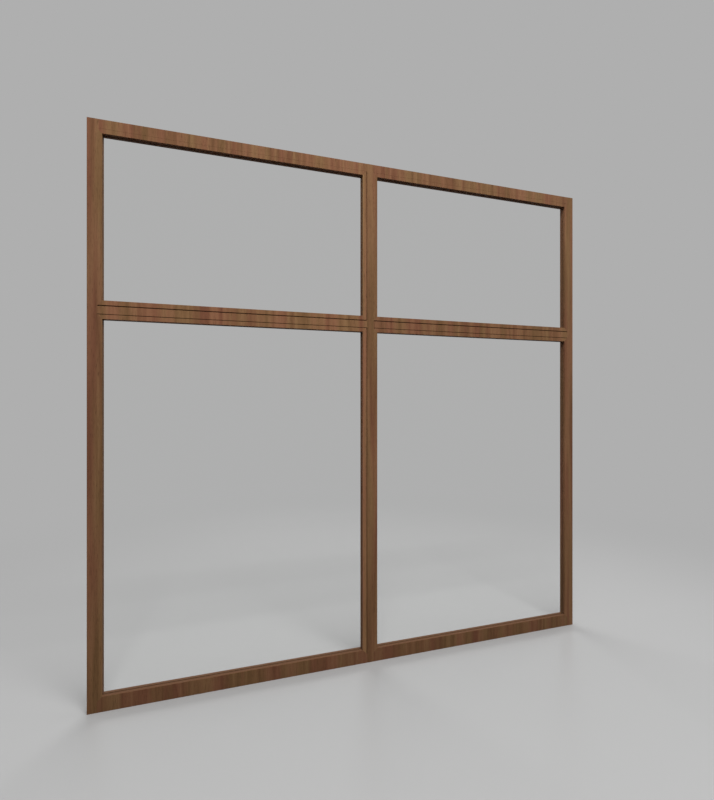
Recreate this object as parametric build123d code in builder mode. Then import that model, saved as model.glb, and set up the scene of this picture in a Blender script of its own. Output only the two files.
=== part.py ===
from build123d import *
import os

# Fixed glass partition: a timber frame with one mullion and one transom, and four lites.
# Millimetres. X runs along the width, the front faces -Y, +Z is up.
# The origin is the middle of the underside, halfway through the frame's depth.

# Overall sizes
frame_width = 3025.0
frame_height = 3000.0
frame_depth = 48.0
transom_centre_height = 2035.5

# Face widths of the members, without their glazing stops
stile_face = 45.5
mullion_face = 41.0
transom_face = 40.0
head_face = 47.0
sill_face = 54.0

# Glass, and the stops that hold it from both sides
stop_face = 24.0
under_transom_stop_face = 23.0
glass_thickness = 8.0
glass_edge_clearance = 4.0

# Shadow gaps: a rebate in a stop's face, between the stop and the member that carries it
above_transom_gap = 5.0
below_transom_gap = 3.0
beside_mullion_gap = 4.0
shadow_gap_depth = 8.0

# Small chamfers on the long edges that a hand meets
member_arris = 0.5
stop_arris = 0.5

half_width = frame_width / 2
half_depth = frame_depth / 2
stile_inner = half_width - stile_face
stop_depth = (frame_depth - glass_thickness) / 2
head_bottom = frame_height - head_face

# Each bay and row of lites, measured between the members
left_bay = (-stile_inner, -mullion_face / 2)
right_bay = (mullion_face / 2, stile_inner)
upper_row = (transom_centre_height + transom_face / 2, head_bottom)
lower_row = (sill_face, transom_centre_height - transom_face / 2)


def write_part(part, name):
    """Label a finished piece and write it to its own file."""
    part.label = name
    export_step(part, f"parts/{name}.step")


def make_member(name, run, left, right, bottom, top):
    """Make one solid member of the frame, with a small chamfer along its four long edges."""
    with BuildPart() as member:
        with BuildSketch(Plane.XZ.offset(-half_depth)):
            with Locations(((left + right) / 2, (bottom + top) / 2)):
                Rectangle(right - left, top - bottom)
        extrude(amount=frame_depth)
        chamfer(member.edges().filter_by(run), length=member_arris)
    write_part(member.part, name)


def make_posts():
    """Make the two stiles and the mullion, which run the full height."""
    make_member("left_stile", Axis.Z, -half_width, -stile_inner, 0, frame_height)
    make_member("mullion", Axis.Z, left_bay[1], right_bay[0], 0, frame_height)
    make_member("right_stile", Axis.Z, stile_inner, half_width, 0, frame_height)


def make_rails(bay, left, right):
    """Make the sill, transom and head of one bay, fitted between its posts."""
    make_member(f"sill_{bay}", Axis.X, left, right, 0, sill_face)
    make_member(f"transom_{bay}", Axis.X, left, right, lower_row[1], upper_row[0])
    make_member(f"head_{bay}", Axis.X, left, right, head_bottom, frame_height)


def make_glass(name, left, right, bottom, top):
    """Make one pane, a clearance smaller all round than the rebate it stands in."""
    with BuildPart() as pane:
        with BuildSketch(Plane.XZ.offset(-glass_thickness / 2)):
            with Locations(((left + right) / 2, (bottom + top) / 2)):
                Rectangle(
                    right - left - 2 * glass_edge_clearance,
                    top - bottom - 2 * glass_edge_clearance,
                )
        extrude(amount=glass_thickness)
    write_part(pane.part, f"glass_{name}")


def make_stop(name, face_side, run, outer_edge, sight_edge, gap_share):
    """Make one mitred stop, from the frame's face back to the glass.

    The edges are pairs of points in X and Z. The stop's face starts at gap_share of the way
    from the outer edge to the sight edge, and leaves the shadow gap open before it.
    """
    face_edge = [
        outer + (sight - outer) * gap_share for outer, sight in zip(outer_edge, sight_edge)
    ]
    with BuildPart() as stop:
        for inner_y, thickness, edge in (
            (glass_thickness / 2, stop_depth - shadow_gap_depth, outer_edge),
            (half_depth - shadow_gap_depth, shadow_gap_depth, face_edge),
        ):
            with BuildSketch(Plane.XZ.offset(-face_side * inner_y)):
                with BuildLine():
                    Polyline(edge[0], edge[1], sight_edge[1], sight_edge[0], close=True)
                make_face()
            extrude(amount=-face_side * thickness)
        shown_face = stop.faces().sort_by(Axis.Y)[0 if face_side < 0 else -1]
        chamfer(shown_face.edges().filter_by(run), length=stop_arris)
    write_part(stop.part, name)


def make_lite(name, left, right, bottom, top, special_stops):
    """Make one pane and its eight stops.

    special_stops gives the stop's face width and its shadow gap, for each side where they differ
    from a plain stop without a gap.
    """
    make_glass(name, left, right, bottom, top)
    plain_stops = {side: (stop_face, 0) for side in ("left", "right", "bottom", "top")}
    sides = {**plain_stops, **special_stops}
    reach = {side: face + gap for side, (face, gap) in sides.items()}
    outer = {"left": left, "right": right, "bottom": bottom, "top": top}
    sight = {
        "left": left + reach["left"],
        "right": right - reach["right"],
        "bottom": bottom + reach["bottom"],
        "top": top - reach["top"],
    }
    for side, (face, gap) in sides.items():
        if side in ("left", "right"):
            run = Axis.Z
            edges = [[Vector(line[side], line[end]) for end in ("bottom", "top")]
                     for line in (outer, sight)]
        else:
            run = Axis.X
            edges = [[Vector(line[end], line[side]) for end in ("left", "right")]
                     for line in (outer, sight)]
        for face_name, face_side in (("front", -1), ("back", 1)):
            make_stop(f"{face_name}_stop_{name}_{side}", face_side, run, *edges, gap / reach[side])


os.makedirs("parts", exist_ok=True)
make_posts()
make_rails("left", *left_bay)
make_rails("right", *right_bay)
above_transom = (stop_face, above_transom_gap)
below_transom = (under_transom_stop_face, below_transom_gap)
beside_mullion = (stop_face, beside_mullion_gap)
make_lite("upper_left", *left_bay, *upper_row, {"bottom": above_transom, "right": beside_mullion})
make_lite("upper_right", *right_bay, *upper_row, {"bottom": above_transom})
make_lite("lower_left", *left_bay, *lower_row, {"top": below_transom, "right": beside_mullion})
make_lite("lower_right", *right_bay, *lower_row, {"top": below_transom})
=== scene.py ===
"""Looks of a fixed glass partition: walnut timber, clear panes, glazing seals, studio and camera.

Lengths are in metres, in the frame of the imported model: X runs along the width, the front faces -Y
and +Z is up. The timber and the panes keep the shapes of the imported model. This script gives them
their finishes, and adds the seals that close the joint between each pane and its stops.
"""

import logging
import math
from dataclasses import dataclass
from enum import Enum

import bpy
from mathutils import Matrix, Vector


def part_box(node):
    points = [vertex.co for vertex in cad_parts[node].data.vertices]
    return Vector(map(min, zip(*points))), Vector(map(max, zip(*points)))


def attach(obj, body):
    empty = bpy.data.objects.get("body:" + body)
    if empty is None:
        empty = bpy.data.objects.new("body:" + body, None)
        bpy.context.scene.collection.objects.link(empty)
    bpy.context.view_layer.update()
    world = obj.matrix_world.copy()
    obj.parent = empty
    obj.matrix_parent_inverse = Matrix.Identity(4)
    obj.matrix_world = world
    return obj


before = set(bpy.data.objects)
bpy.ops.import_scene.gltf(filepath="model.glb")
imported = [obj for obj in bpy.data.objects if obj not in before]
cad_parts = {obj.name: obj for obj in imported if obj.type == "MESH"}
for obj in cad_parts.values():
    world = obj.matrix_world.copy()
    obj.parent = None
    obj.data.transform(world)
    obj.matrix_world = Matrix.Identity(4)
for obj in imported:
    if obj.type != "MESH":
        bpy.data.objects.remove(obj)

log = logging.getLogger("glass_partition")

Socket = bpy.types.NodeSocket
Triple = tuple[float, float, float]
Range = tuple[float, float]
Colour = tuple[float, float, float, float]

# The curve between a screen's colours and the linear colours that a shader reads
FULL_CHANNEL = 255
CURVE_FOOT = 0.04045
FOOT_SLOPE = 12.92
CURVE_OFFSET = 0.055
CURVE_POWER = 2.4

# Places of the colour sockets on a Mix node, which shares their names with its other sockets
MIX_SHARE, MIX_FIRST, MIX_SECOND = 0, 6, 7
MIX_RESULT = 2

# The middle of a noise's colour, from which it strays both ways
NOISE_MIDDLE = (0.5, 0.5, 0.5)

# Between a ray that has met no matt surface yet and one that has met its first
FIRST_MATT_BOUNCE = 0.5


def srgb(red: int, green: int, blue: int) -> Colour:
    """Turn a screen colour into the linear colour that a shader reads.

    Args:
        red: Red from 0 to 255.
        green: Green from 0 to 255.
        blue: Blue from 0 to 255.

    Returns:
        The linear colour, with an alpha of 1.
    """
    def linear(value: int) -> float:
        """Undo the screen curve for one channel.

        Args:
            value: The channel from 0 to 255.

        Returns:
            The linear share of full light.
        """
        share = value / FULL_CHANNEL
        if share <= CURVE_FOOT:
            return share / FOOT_SLOPE
        return ((share + CURVE_OFFSET) / (1 + CURVE_OFFSET)) ** CURVE_POWER

    return (linear(red), linear(green), linear(blue), 1.0)


class Side(Enum):
    """The two faces of the partition, by the sign of Y that they look towards."""

    FRONT = -1
    BACK = 1


class Lite(Enum):
    """The four lites, by the words that name their pieces."""

    LOWER_LEFT = "lower_left"
    LOWER_RIGHT = "lower_right"
    UPPER_LEFT = "upper_left"
    UPPER_RIGHT = "upper_right"


@dataclass(frozen=True)
class Grain:
    """A noise pattern: how close it lies along each axis, how fine it gets and how rough."""

    closeness: Triple
    detail: float
    roughness: float


class Graph:
    """A node tree with short calls to add nodes and join their sockets."""

    def __init__(self, tree: bpy.types.NodeTree) -> None:
        """Empty the tree of a material, a world or a modifier, to fill it afresh."""
        self.tree = tree
        tree.nodes.clear()

    def add(self, kind: str, inputs: dict | None = None, **settings: object) -> bpy.types.Node:
        """Add one node.

        Args:
            kind: The node's type name.
            inputs: Values or sockets for its inputs, by name or index.
            **settings: Values for the node's own properties.

        Returns:
            The new node.
        """
        node = self.tree.nodes.new(kind)
        for key, value in settings.items():
            setattr(node, key, value)
        for key, value in (inputs or {}).items():
            if isinstance(value, Socket):
                self.tree.links.new(value, node.inputs[key])
            else:
                node.inputs[key].default_value = value
        return node

    def surface(self, output: str = "Object") -> Socket:
        """Read the piece's own coordinates, or with "Normal" the way its surface looks."""
        return self.add("ShaderNodeTexCoord").outputs[output]

    def math(self, operation: str, first: Socket | float, second: Socket | float) -> Socket:
        """Add a Math node and return its result."""
        return self.add("ShaderNodeMath", {0: first, 1: second}, operation=operation).outputs[0]

    def vector_math(self, operation: str, first: Socket, second: Socket | Triple) -> Socket:
        """Add a Vector Math node and return its vector."""
        inputs = {0: first, 1: second}
        return self.add("ShaderNodeVectorMath", inputs, operation=operation).outputs[0]

    def noise(self, place: Socket, grain: Grain) -> bpy.types.Node:
        """Add a 3-D noise.

        Args:
            place: The place that the noise reads.
            grain: The pattern of the noise.

        Returns:
            The noise node.
        """
        return self.add("ShaderNodeTexNoise", {
            "Vector": self.vector_math("MULTIPLY", place, grain.closeness),
            "Scale": 1.0,
            "Detail": grain.detail,
            "Roughness": grain.roughness,
        })

    def remap(self, value: Socket, source: Range, target: Range, **settings: object) -> Socket:
        """Map a range of values onto another, held at its ends."""
        inputs = dict(enumerate((value, *source, *target)))
        return self.add("ShaderNodeMapRange", inputs, **settings).outputs[0]

    def blend(self, share: Socket | float, first: Socket | Colour, second: Socket | Colour,
              blend_type: str = "MIX") -> Socket:
        """Mix two colours.

        Args:
            share: How much the second colour counts, from 0 to 1.
            first: The first colour.
            second: The second colour.
            blend_type: How the second colour acts on the first.

        Returns:
            The mixed colour.
        """
        inputs = {MIX_SHARE: share, MIX_FIRST: first, MIX_SECOND: second}
        node = self.add("ShaderNodeMix", inputs, data_type="RGBA", blend_type=blend_type)
        return node.outputs[MIX_RESULT]

    def end(self, kind: str, shader: bpy.types.Node) -> None:
        """Send a shader to the tree's output node."""
        self.add(kind, {"Surface": shader.outputs[0]})


def new_material(name: str) -> tuple[bpy.types.Material, Graph]:
    """Make an empty material.

    Args:
        name: The material's name.

    Returns:
        The material, and the graph of its nodes.
    """
    material = bpy.data.materials.new(name)
    material.use_nodes = True
    return material, Graph(material.node_tree)


def coat(piece: bpy.types.Object, material: bpy.types.Material) -> bpy.types.Object:
    """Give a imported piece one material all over.

    Args:
        piece: The piece.
        material: Its material.

    Returns:
        The same piece.
    """
    piece.data.materials.clear()
    piece.data.materials.append(material)
    return piece


@dataclass(frozen=True)
class WalnutFinish:
    """Satin walnut with upright grain. Each board is another place in the same timber."""

    # Colours of the timber, and where they lie between its darkest and palest streaks
    pale: Colour = srgb(122, 92, 67)
    middle: Colour = srgb(107, 77, 56)
    dark: Colour = srgb(88, 61, 44)
    pale_stop: float = 0.72
    middle_stop: float = 0.48
    dark_stop: float = 0.28

    # Slow drift of the grain across a board, and the step from board to board
    wander: Grain = Grain((2.6, 2.6, 1.1), 2.0, 0.5)
    wander_reach: Triple = (0.012, 0.012, 0.0)
    board_step: Vector = Vector((3.71, 1.93, 5.27))

    # Broad figure and narrow streaks, and how much each of them counts
    figure: Grain = Grain((11.0, 11.0, 0.55), 2.0, 0.45)
    figure_rings: float = 9.0
    figure_share: float = 0.35
    streak: Grain = Grain((70.0, 70.0, 1.6), 4.0, 0.6)
    streak_share: float = 0.65

    # Patches that lean to red or to olive
    red_tint: Colour = srgb(117, 72, 55)
    olive_tint: Colour = srgb(108, 85, 52)
    tone: Grain = Grain((13.0, 13.0, 0.9), 2.0, 0.5)
    tone_spread: Range = (0.38, 0.62)
    tint_share: float = 0.38

    # Fine fibres
    fibre: Grain = Grain((650.0, 650.0, 9.0), 3.0, 0.6)
    fibre_spread: Range = (0.3, 0.7)
    fibre_shade: Range = (0.9, 1.08)

    # Open pores
    pore: Colour = srgb(50, 31, 20)
    vessel: Grain = Grain((900.0, 900.0, 26.0), 1.0, 0.4)
    vessel_spread: Range = (0.62, 0.7)
    pore_share: float = 0.55
    pore_sink: float = 0.8

    # End grain: how far a face looks up or down to show it, and its growth rings
    end_turn: Range = (0.8, 0.95)
    end_plane: Triple = (1.0, 1.0, 0.0)
    end_ring_scale: float = 78.0
    end_ring_wobble: float = 5.0
    end_ring_detail: float = 2.0
    end_ring_detail_scale: float = 0.35
    end_ring_shares: Range = (0.2, 0.75)

    # Satin surface
    streak_spread: Range = (0.3, 0.7)
    roughness: Range = (0.46, 0.6)
    specular: float = 0.08
    grain_relief: float = 0.35
    grain_depth: float = 0.00025

    def place(self, graph: Graph, board: int) -> Socket:
        """Place the pattern on one board and let its grain wander a little.

        Args:
            graph: The material's graph.
            board: The number of the board in the stack of timber.

        Returns:
            The place in the timber, as a vector.
        """
        moved = graph.add("ShaderNodeMapping", {
            "Vector": graph.surface(), "Location": self.board_step * board}).outputs[0]
        drift = graph.noise(moved, self.wander).outputs["Color"]
        centred = graph.vector_math("SUBTRACT", drift, NOISE_MIDDLE)
        offset = graph.vector_math("MULTIPLY", centred, self.wander_reach)
        return graph.vector_math("ADD", moved, offset)

    def long_grain(self, graph: Graph, place: Socket, streaks: Socket) -> Socket:
        """Colour the faces along the grain with figure, streaks and tinted patches.

        Args:
            graph: The material's graph.
            place: The place in the timber.
            streaks: The streaks there.

        Returns:
            The colour.
        """
        figure = graph.noise(place, self.figure).outputs[0]
        rings = graph.math("PINGPONG", graph.math("MULTIPLY", figure, self.figure_rings), 1.0)
        depth = graph.math(
            "ADD",
            graph.math("MULTIPLY", rings, self.figure_share),
            graph.math("MULTIPLY", streaks, self.streak_share),
        )
        ramp = graph.add("ShaderNodeValToRGB", {0: depth})
        first, last = ramp.color_ramp.elements
        first.position, first.color = self.dark_stop, self.dark
        last.position, last.color = self.pale_stop, self.pale
        ramp.color_ramp.elements.new(self.middle_stop).color = self.middle

        tone = graph.noise(place, self.tone).outputs[0]
        lean = graph.remap(tone, self.tone_spread, (0.0, 1.0))
        tint = graph.blend(lean, self.red_tint, self.olive_tint)
        return graph.blend(self.tint_share, ramp.outputs[0], tint)

    def end_share(self, graph: Graph) -> Socket:
        """Tell the faces that cut across the grain, which look up or down, from the others.

        Args:
            graph: The material's graph.

        Returns:
            1 on a face across the grain and 0 on a face along it.
        """
        upright = graph.add("ShaderNodeSeparateXYZ", {0: graph.surface("Normal")}).outputs["Z"]
        return graph.remap(graph.math("ABSOLUTE", upright, 0.0), self.end_turn, (0.0, 1.0))

    def end_grain(self, graph: Graph, place: Socket) -> Socket:
        """Colour the faces across the grain: close growth rings about the far heart of the tree.

        Args:
            graph: The material's graph.
            place: The place in the timber.

        Returns:
            The colour.
        """
        rings = graph.add("ShaderNodeTexWave", {
            "Vector": graph.vector_math("MULTIPLY", place, self.end_plane),
            "Scale": self.end_ring_scale,
            "Distortion": self.end_ring_wobble,
            "Detail": self.end_ring_detail,
            "Detail Scale": self.end_ring_detail_scale,
        }, wave_type="RINGS", rings_direction="Z", wave_profile="SAW").outputs[0]
        share = graph.remap(rings, (0.0, 1.0), self.end_ring_shares)
        return graph.blend(share, self.middle, self.dark)

    def build(self, board: int, shade: float) -> bpy.types.Material:
        """Make the material of one board.

        Args:
            board: The number of the board in the stack of timber.
            shade: How light this board is beside the others, where 1 is the usual shade. It is
                partly the board's own tone and partly painted shade, as on the sills, which are
                darkened for the weaker light at the foot of the frame.

        Returns:
            The material.
        """
        material, graph = new_material(f"walnut_board_{board:02d}")
        place = self.place(graph, board)
        streaks = graph.noise(place, self.streak).outputs[0]
        timber = graph.blend(
            self.end_share(graph),
            self.long_grain(graph, place, streaks),
            self.end_grain(graph, place),
        )

        fibres = graph.noise(place, self.fibre).outputs[0]
        low, high = self.fibre_shade
        # The board's shade scales the whole colour here. It is partly the board's own tone and
        # partly painted shade, as on the darker sills.
        fibre_shade = graph.remap(fibres, self.fibre_spread, (low * shade, high * shade))
        fibre_grey = graph.add("ShaderNodeCombineColor", dict.fromkeys(range(3), fibre_shade))
        combed = graph.blend(1.0, timber, fibre_grey.outputs[0], "MULTIPLY")

        vessels = graph.noise(place, self.vessel).outputs[0]
        pores = graph.remap(vessels, self.vessel_spread, (0.0, 1.0))
        height = graph.math("SUBTRACT", fibres, graph.math("MULTIPLY", pores, self.pore_sink))
        bump = graph.add("ShaderNodeBump", {
            "Height": height, "Strength": self.grain_relief, "Distance": self.grain_depth})

        shader = graph.add("ShaderNodeBsdfPrincipled", {
            "Base Color": graph.blend(
                graph.math("MULTIPLY", pores, self.pore_share), combed, self.pore),
            "Roughness": graph.remap(streaks, self.streak_spread, self.roughness),
            "Normal": bump.outputs[0],
            "Specular IOR Level": self.specular,
        })
        graph.end("ShaderNodeOutputMaterial", shader)
        return material


@dataclass(frozen=True)
class ClearGlassFinish:
    """Polished clear glass, which lamps shine through without a dark shadow."""

    colour: Colour = (0.992, 0.995, 0.993, 1.0)
    lamp_tint: Colour = (0.98, 0.985, 0.982, 1.0)
    reflection: Colour = (0.12, 0.12, 0.12, 1.0)
    roughness: float = 0.0
    index_of_refraction: float = 1.5
    ripple: Grain = Grain((1.4, 1.4, 1.4), 1.0, 0.4)
    ripple_relief: float = 0.2
    ripple_depth: float = 0.00001

    def build(self) -> bpy.types.Material:
        """Make the material of the panes.

        Returns:
            The material.
        """
        material, graph = new_material("clear_glass")
        ripple = graph.noise(graph.surface(), self.ripple).outputs[0]
        bump = graph.add("ShaderNodeBump", {
            "Height": ripple, "Strength": self.ripple_relief, "Distance": self.ripple_depth})
        glass = graph.add("ShaderNodeBsdfPrincipled", {
            "Base Color": self.colour,
            "Roughness": self.roughness,
            "IOR": self.index_of_refraction,
            "Transmission Weight": 1.0,
            "Specular Tint": self.reflection,
            "Normal": bump.outputs[0],
        })
        lamp_pass = graph.add("ShaderNodeBsdfTransparent", {"Color": self.lamp_tint})
        lamp_ray = graph.add("ShaderNodeLightPath").outputs["Is Shadow Ray"]
        graph.end("ShaderNodeOutputMaterial", graph.add("ShaderNodeMixShader", {
            0: lamp_ray, 1: glass.outputs[0], 2: lamp_pass.outputs[0]}))
        return material


@dataclass(frozen=True)
class SealFinish:
    """Dark brown glazing seal, matt and faintly mottled."""

    colour: Colour = srgb(84, 60, 44)
    worn: Colour = srgb(102, 76, 57)
    mottle: Grain = Grain((90.0, 90.0, 90.0), 3.0, 0.6)
    mottle_spread: Range = (0.3, 0.7)
    roughness: Range = (0.55, 0.75)
    mottle_relief: float = 0.2
    mottle_depth: float = 0.0002

    def build(self) -> bpy.types.Material:
        """Make the material of the seals.

        Returns:
            The material.
        """
        material, graph = new_material("glazing_seal")
        mottle = graph.noise(graph.surface(), self.mottle).outputs[0]
        bump = graph.add("ShaderNodeBump", {
            "Height": mottle, "Strength": self.mottle_relief, "Distance": self.mottle_depth})
        shader = graph.add("ShaderNodeBsdfPrincipled", {
            "Base Color": graph.blend(mottle, self.colour, self.worn),
            "Roughness": graph.remap(mottle, self.mottle_spread, self.roughness),
            "Normal": bump.outputs[0],
        })
        graph.end("ShaderNodeOutputMaterial", shader)
        return material


class Board(Enum):
    """The boards of the timberwork: how light each is, and the pieces that are cut from it. The
    lightness is partly each board's own tone and partly painted shade: the sills are darkened for
    the weaker light at the foot of the frame.
    """

    LEFT_STILE = (1.0, "left_stile", "stop_upper_left_left", "stop_lower_left_left")
    MULLION = (1.01, "mullion", "stop_upper_right_left", "stop_lower_right_left")
    RIGHT_STILE = (0.98, "right_stile", "stop_upper_right_right", "stop_lower_right_right")
    LEFT_HEAD = (1.03, "head_left", "stop_upper_left_top")
    RIGHT_HEAD = (0.97, "head_right", "stop_upper_right_top")
    LEFT_TRANSOM = (1.18, "transom_left", "stop_upper_left_bottom", "stop_lower_left_top")
    RIGHT_TRANSOM = (1.08, "transom_right", "stop_upper_right_bottom", "stop_lower_right_top")
    # The sills' 0.88 is painted shade for the weaker light at the foot of the frame.
    LEFT_SILL = (0.88, "sill_left", "stop_lower_left_bottom")
    RIGHT_SILL = (0.88, "sill_right", "stop_lower_right_bottom")
    MULLION_LEFT_STOPS = (1.18, "stop_upper_left_right", "stop_lower_left_right")


@dataclass
class Timberwork:
    """The members of the frame and the glazing stops, each with the grain of its board."""

    finish: WalnutFinish = WalnutFinish()

    def names(self, board: Board) -> list[str]:
        """List the nodes of one board.

        Args:
            board: The board. Each stop that it lists stands for a front one and a back one.

        Returns:
            The names of its members and stops.
        """
        _, *listed = board.value
        stops = [name for name in listed if name.startswith("stop_")]
        members = [name for name in listed if name not in stops]
        return members + [f"{side.name.lower()}_{stop}" for side in Side for stop in stops]

    def build(self) -> list[bpy.types.Object]:
        """Give every member and stop the finish of its board.

        Returns:
            The finished pieces.
        """
        pieces = []
        for number, board in enumerate(Board):
            shade = board.value[0]
            material = self.finish.build(number, shade)
            pieces += [coat(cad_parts[name], material) for name in self.names(board)]
        return pieces


@dataclass
class Panes:
    """The four panes of clear glass."""

    finish: ClearGlassFinish = ClearGlassFinish()

    def build(self) -> list[bpy.types.Object]:
        """Give every pane its glass, and return the panes."""
        material = self.finish.build()
        return [coat(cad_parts[f"glass_{lite.value}"], material) for lite in Lite]


@dataclass
class GlazingSeals:
    """A thin seal round each pane on each face, in the corner between the glass and its stops."""

    width: float = 0.0013
    height: float = 0.0013
    edge_round: float = 0.0004
    edge_steps: int = 2
    corner_radius: float = 0.003
    corner_steps: int = 6
    finish: SealFinish = SealFinish()

    def tree(self) -> bpy.types.GeometryNodeTree:
        """Make the tree that runs a rounded strip round an upright rectangle.

        Returns:
            The node tree, with named inputs for its sizes, place and material.
        """
        tree = bpy.data.node_groups.new("seal_loop", "GeometryNodeTree")
        graph = Graph(tree)
        for name, kind in (
            ("Lite Width", "Float"),
            ("Lite Height", "Float"),
            ("Strip Width", "Float"),
            ("Strip Height", "Float"),
            ("Edge Round", "Float"),
            ("Edge Steps", "Int"),
            ("Corner Radius", "Float"),
            ("Corner Steps", "Int"),
            ("Centre", "Vector"),
            ("Material", "Material"),
        ):
            tree.interface.new_socket(name=name, in_out="INPUT", socket_type=f"NodeSocket{kind}")
        tree.interface.new_socket(
            name="Geometry", in_out="OUTPUT", socket_type="NodeSocketGeometry")
        given = graph.add("NodeGroupInput").outputs

        def rounded(width: str, height: str, radius: str, steps: str) -> Socket:
            """Add a rectangle with rounded corners, from the names of its four inputs."""
            outline = graph.add("GeometryNodeCurvePrimitiveQuadrilateral", {
                "Width": given[width], "Height": given[height]})
            return graph.add("GeometryNodeFilletCurve", {
                "Curve": outline.outputs[0], "Radius": given[radius], "Count": given[steps],
            }, mode="POLY").outputs[0]

        strip = graph.add("GeometryNodeCurveToMesh", {
            "Curve": rounded("Lite Width", "Lite Height", "Corner Radius", "Corner Steps"),
            "Profile Curve": rounded("Strip Width", "Strip Height", "Edge Round", "Edge Steps"),
        })
        upright = graph.add("GeometryNodeTransform", {
            "Geometry": strip.outputs[0],
            "Translation": given["Centre"],
            "Rotation": (math.pi / 2, 0.0, 0.0),
        })
        smooth = graph.add("GeometryNodeSetShadeSmooth", {"Geometry": upright.outputs[0]})
        real = graph.add("GeometryNodeRealizeInstances", {"Geometry": smooth.outputs[0]})
        dressed = graph.add("GeometryNodeSetMaterial", {
            "Geometry": real.outputs[0], "Material": given["Material"]})
        graph.add("NodeGroupOutput", {"Geometry": dressed.outputs[0]})
        return tree

    def opening(self, lite: Lite) -> tuple[Vector, Vector]:
        """Find the clear opening of a lite, between the inner edges of its stops.

        Args:
            lite: The lite.

        Returns:
            The opening's lowest and highest corner.
        """
        edges = ("left", "right", "bottom", "top")
        left, right, bottom, top = (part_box(f"front_stop_{lite.value}_{edge}") for edge in edges)
        return Vector((left[1].x, 0.0, bottom[1].z)), Vector((right[0].x, 0.0, top[0].z))

    def make(self, lite: Lite, side: Side, tree: bpy.types.GeometryNodeTree,
             material: bpy.types.Material) -> bpy.types.Object:
        """Make one seal as a plain mesh and let it ride on the frame.

        Args:
            lite: The lite that the seal goes round.
            side: The face of the partition that the seal is on.
            tree: The tree that makes the loop.
            material: The seal's material.

        Returns:
            The finished piece.
        """
        low, high = self.opening(lite)
        glass_front, glass_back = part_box(f"glass_{lite.value}")
        glass_face = glass_back if side is Side.BACK else glass_front
        centre = (low + high) / 2
        centre.y = glass_face.y + side.value * self.height / 2
        values = {
            "Lite Width": high.x - low.x - self.width,
            "Lite Height": high.z - low.z - self.width,
            "Strip Width": self.width,
            "Strip Height": self.height,
            "Edge Round": self.edge_round,
            "Edge Steps": self.edge_steps,
            "Corner Radius": self.corner_radius,
            "Corner Steps": self.corner_steps,
            "Centre": tuple(centre),
            "Material": material,
        }
        name = f"{side.name.lower()}_seal_{lite.value}"
        piece = bpy.data.objects.new(name, bpy.data.meshes.new(name))
        bpy.context.scene.collection.objects.link(piece)
        modifier = piece.modifiers.new("loop", "NODES")
        modifier.node_group = tree
        for item in tree.interface.items_tree:
            if item.in_out == "INPUT":
                modifier[item.identifier] = values[item.name]
        view = bpy.context.evaluated_depsgraph_get()
        mesh = bpy.data.meshes.new_from_object(piece.evaluated_get(view))
        piece.modifiers.clear()
        piece.data = mesh
        mesh.name = name
        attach(piece, "root")
        return piece

    def build(self) -> list[bpy.types.Object]:
        """Make all the seals.

        Returns:
            The finished pieces.
        """
        tree = self.tree()
        material = self.finish.build()
        return [self.make(lite, side, tree, material) for lite in Lite for side in Side]


class Bearing(Enum):
    """Where a lamp stands round the partition, in degrees to the right of the front."""

    FRONT = 0.0
    RIGHT = 90.0
    BACK = 180.0
    LEFT = 270.0


@dataclass(frozen=True)
class SoftLamp:
    """A large soft lamp that hangs above the partition and is aimed at its middle."""

    name: str
    bearing: Bearing
    distance: float
    height_angle: float
    power: float
    size: tuple[float, float] = (4.0, 2.5)
    aim: Vector = Vector((0.0, 0.0, 1.5))

    def build(self) -> None:
        """Hang the lamp, so that neither the lens nor the glass shows it."""
        light = bpy.data.lights.new(self.name, "AREA")
        light.shape = "RECTANGLE"
        light.size, light.size_y = self.size
        light.energy = self.power
        lamp = bpy.data.objects.new(self.name, light)
        turn = math.radians(self.bearing.value)
        rise = math.radians(self.height_angle)
        level = math.cos(rise)
        away = Vector((level * math.sin(turn), -level * math.cos(turn), math.sin(rise)))
        lamp.location = self.aim + away * self.distance
        lamp.rotation_euler = away.to_track_quat("Z", "Y").to_euler()
        lamp.visible_camera = False
        lamp.visible_glossy = False
        lamp.visible_transmission = False
        bpy.context.scene.collection.objects.link(lamp)


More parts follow.
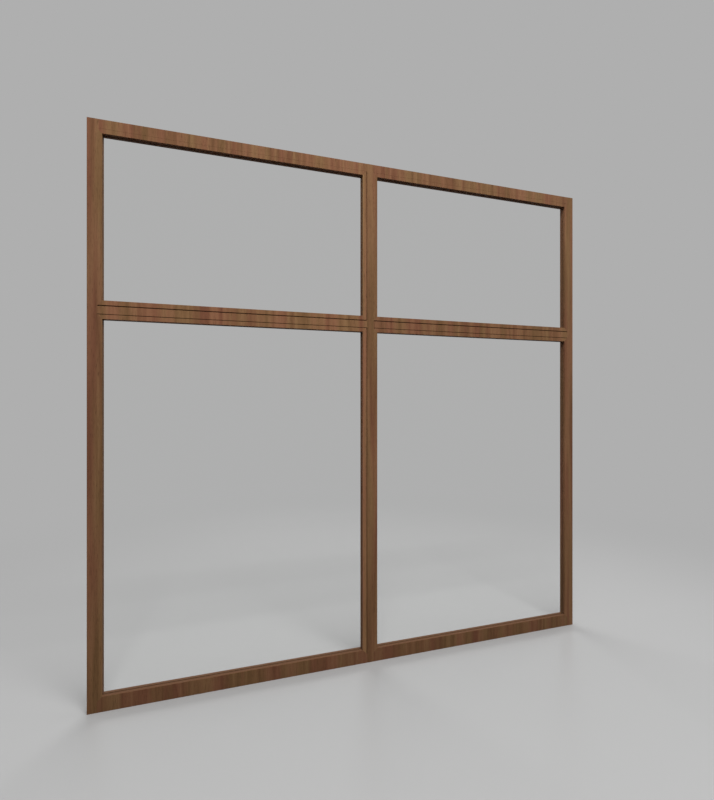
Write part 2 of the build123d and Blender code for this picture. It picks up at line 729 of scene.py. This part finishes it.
@dataclass
class Studio:
    """A pale floor that fades into a plain backdrop, lit softly from above."""

    backdrop: Colour = srgb(175, 175, 175)
    backdrop_strength: float = 1.0
    floor_seen: Colour = srgb(152, 152, 152)
    floor_bounce: Colour = srgb(111, 95, 82)
    floor_roughness: float = 0.28
    floor_specular: float = 0.4
    floor_half: float = 40.0
    fade: Range = (1.8, 5.4)
    ambient: Colour = (1.0, 1.0, 1.0, 1.0)
    ambient_strength: float = 0.43
    lamps: tuple[SoftLamp, ...] = (
        SoftLamp("key_lamp", Bearing.FRONT, 7.0, 60.0, 660.0),
        SoftLamp("back_lamp", Bearing.BACK, 6.5, 38.0, 230.0),
        SoftLamp("left_lamp", Bearing.LEFT, 6.5, 30.0, 50.0),
        SoftLamp("right_lamp", Bearing.RIGHT, 6.5, 30.0, 110.0),
    )

    def seen_directly(self, graph: Graph) -> Socket:
        """Tell the rays that show the studio from those that only carry its light.

        Args:
            graph: The graph of the material or world that asks.

        Returns:
            1 for a ray that the lens, a reflection or the glass shows, and 0 after a matt bounce.
        """
        path = graph.add("ShaderNodeLightPath").outputs
        mirrored = graph.math("MAXIMUM", path["Is Glossy Ray"], path["Is Transmission Ray"])
        shown = graph.math("MAXIMUM", path["Is Camera Ray"], mirrored)
        fresh = graph.math("LESS_THAN", path["Diffuse Depth"], FIRST_MATT_BOUNCE)
        return graph.math("MULTIPLY", shown, fresh)

    def background(self) -> None:
        """Make the world: a plain backdrop to look at, and an even light all round."""
        world = bpy.data.worlds.new("studio_air")
        bpy.context.scene.world = world
        world.use_nodes = True
        graph = Graph(world.node_tree)
        around = graph.add("ShaderNodeBackground", {
            "Color": self.ambient, "Strength": self.ambient_strength})
        plain = graph.add("ShaderNodeBackground", {
            "Color": self.backdrop, "Strength": self.backdrop_strength})
        graph.end("ShaderNodeOutputWorld", graph.add("ShaderNodeMixShader", {
            0: self.seen_directly(graph), 1: around.outputs[0], 2: plain.outputs[0]}))

    def floor_material(self) -> bpy.types.Material:
        """Make the floor's material, which fades into the backdrop away from the partition.

        Returns:
            The material.
        """
        material, graph = new_material("studio_floor")
        shown = self.seen_directly(graph)
        shader = graph.add("ShaderNodeBsdfPrincipled", {
            "Base Color": graph.blend(shown, self.floor_bounce, self.floor_seen),
            "Roughness": self.floor_roughness,
            "Specular IOR Level": self.floor_specular,
        })
        away = graph.add(
            "ShaderNodeVectorMath", {0: graph.surface()}, operation="LENGTH").outputs["Value"]
        fade = graph.remap(away, self.fade, (0.0, 1.0), interpolation_type="SMOOTHERSTEP")
        plain = graph.add("ShaderNodeEmission", {
            "Color": self.backdrop, "Strength": self.backdrop_strength})
        graph.end("ShaderNodeOutputMaterial", graph.add("ShaderNodeMixShader", {
            0: graph.math("MULTIPLY", fade, shown), 1: shader.outputs[0], 2: plain.outputs[0]}))
        return material

    def floor(self) -> None:
        """Lay the floor under the partition."""
        mesh = bpy.data.meshes.new("studio_floor")
        half = self.floor_half
        corners = [(-half, -half, 0), (half, -half, 0), (half, half, 0), (-half, half, 0)]
        mesh.from_pydata(corners, [], [(0, 1, 2, 3)])
        mesh.materials.append(self.floor_material())
        floor = bpy.data.objects.new("studio_floor", mesh)
        bpy.context.scene.collection.objects.link(floor)

    def build(self) -> None:
        """Set up the floor, the backdrop and the lamps."""
        self.background()
        self.floor()
        for lamp in self.lamps:
            lamp.build()
        bpy.context.scene.view_settings.view_transform = "Standard"


@dataclass
class EyeLevelCamera:
    """The camera of the photograph: level, at standing eye height, near the left bay."""

    eye: Vector = Vector((-0.9581, -2.6761, 1.5797))
    heading_right: float = 18.223
    focal_pixels: float = 467.67
    image_height: float = 800.0
    film: float = 36.0

    def build(self) -> None:
        """Place the camera and make it the scene's own."""
        data = bpy.data.cameras.new("eye_level")
        data.sensor_width = self.film
        data.lens = self.focal_pixels / self.image_height * self.film
        camera = bpy.data.objects.new("eye_level", data)
        camera.location = self.eye
        camera.rotation_euler = (math.pi / 2, 0.0, -math.radians(self.heading_right))
        bpy.context.scene.collection.objects.link(camera)
        bpy.context.scene.camera = camera


def main() -> None:
    """Build the looks of the partition in order, and report each piece."""
    logging.basicConfig(level=logging.INFO, format="%(name)s: %(message)s")
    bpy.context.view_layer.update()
    EyeLevelCamera().build()
    Studio().build()
    for assembly in (Timberwork(), Panes(), GlazingSeals()):
        for piece in assembly.build():
            material = piece.data.materials[0].name
            log.info("%s: %d faces, %s", piece.name, len(piece.data.polygons), material)


if __name__ == "__main__":
    main()
